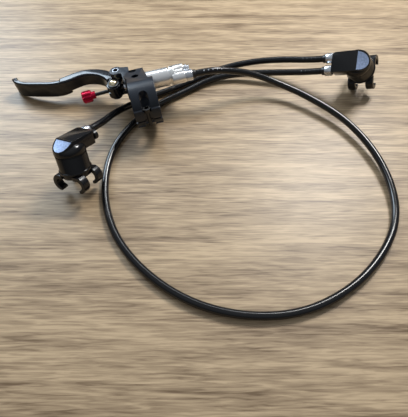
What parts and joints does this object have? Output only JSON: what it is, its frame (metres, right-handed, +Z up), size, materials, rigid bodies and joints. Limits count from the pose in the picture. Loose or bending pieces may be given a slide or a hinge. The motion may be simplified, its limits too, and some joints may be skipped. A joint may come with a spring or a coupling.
{
  "type": "bicycle front brake",
  "caption": "Hydraulic rim brake for a bicycle's front wheel: a bar-clamped lever with its master cylinder, a looped hose, and slave cylinders with hooked pad carriers.",
  "frame": {"origin": "middle of the metal pieces' box on the surface that the set lies on", "axes": "+X from the lever's tip to the right slave cylinder, +Y from the hose's loop to the lever, +Z up"},
  "size_m": [0.2878, 0.2179, 0.0392],
  "materials": {
    "bracket": "satin black anodised",
    "lever_paint": "gloss",
    "slave_paint": "gloss",
    "polished": "polished",
    "nut_plate": "bright plated",
    "steel": "satin",
    "black_steel": "black",
    "brass": "polished",
    "red_knob": "anodised",
    "hose": "gloss",
    "seal": "matte",
    "piston_metal": "turned",
    "carrier": "gloss"
  },
  "bodies": {
    "root": {"lever_bracket": "bracket", "bar_clamp_cap": "bracket", "clamp_bolt_front": "black_steel", "clamp_bolt_rear": "black_steel", "lever_pivot_pin": "nut_plate", "master_cylinder": "polished", "piston_stop_ring": "steel", "cylinder_head": "polished", "master_hose_nut": "nut_plate", "bleed_screw": "nut_plate", "left_slave_head": "slave_paint", "left_slave_sleeve": "slave_paint", "left_hose_nut": "nut_plate", "left_port_plug": "black_steel", "right_slave_head": "slave_paint", "right_slave_sleeve": "slave_paint", "right_main_nut": "nut_plate", "right_crossover_nut": "nut_plate", "main_hose": "hose", "crossover_hose": "hose"},
    "lever": {"brake_lever": "lever_paint", "pivot_bush": "brass"},
    "barrel": {"adjuster_barrel": "black_steel", "barrel_dome": "brass"},
    "adjuster": {"adjuster_rod": "black_steel", "adjuster_knob": "red_knob", "pushrod_collar": "nut_plate"},
    "piston": {"master_piston": "piston_metal", "master_piston_seal": "seal", "return_spring": "steel"},
    "left_pad": {"left_slave_piston": "piston_metal", "left_slave_piston_seal": "seal", "left_pad_carrier": "carrier"},
    "right_pad": {"right_slave_piston": "piston_metal", "right_slave_piston_seal": "seal", "right_pad_carrier": "carrier"}
  },
  "joints": [
    {"name": "lever_pull", "type": "hinge", "parent": "root", "child": "lever", "pos_m": [-0.05754, 0.0333, 0.01903], "axis": [-0.1135, 0.0275, 0.9932], "range_deg": [0, 20], "stiffness_Nm_per_rad": 0.4, "springref_deg": -14.32},
    {"name": "barrel_swivel", "type": "hinge", "parent": "lever", "child": "barrel", "pos_m": [-0.05922, 0.02399, 0.0191], "axis": [-0.1135, 0.0275, 0.9932], "range_deg": [-17.1, 0]},
    {"name": "adjuster_turn", "type": "hinge", "parent": "barrel", "child": "adjuster", "pos_m": [-0.05922, 0.02399, 0.0191], "axis": [0.9588, 0.2651, 0.1022], "range_deg": [-180, 180]},
    {"name": "master_piston_slide", "type": "slide", "parent": "root", "child": "piston", "axis": [0.969, 0.2237, 0.1045], "range_m": [0, 0.0032]},
    {"name": "left_pad_slide", "type": "slide", "parent": "root", "child": "left_pad", "axis": [0.111, -0.3729, -0.9212], "range_m": [0, 0.0006256]},
    {"name": "right_pad_slide", "type": "slide", "parent": "root", "child": "right_pad", "axis": [0.5552, 0.4144, -0.7211], "range_m": [0, 0.0006256]}
  ],
  "couplings": [
    {"joint": "barrel_swivel", "follows": "lever_pull", "ratio": -0.85},
    {"joint": "master_piston_slide", "follows": "lever_pull", "m_per_rad": 0.0091673},
    {"joint": "left_pad_slide", "follows": "lever_pull", "m_per_rad": 0.0017905},
    {"joint": "right_pad_slide", "follows": "lever_pull", "m_per_rad": 0.0017905}
  ]
}
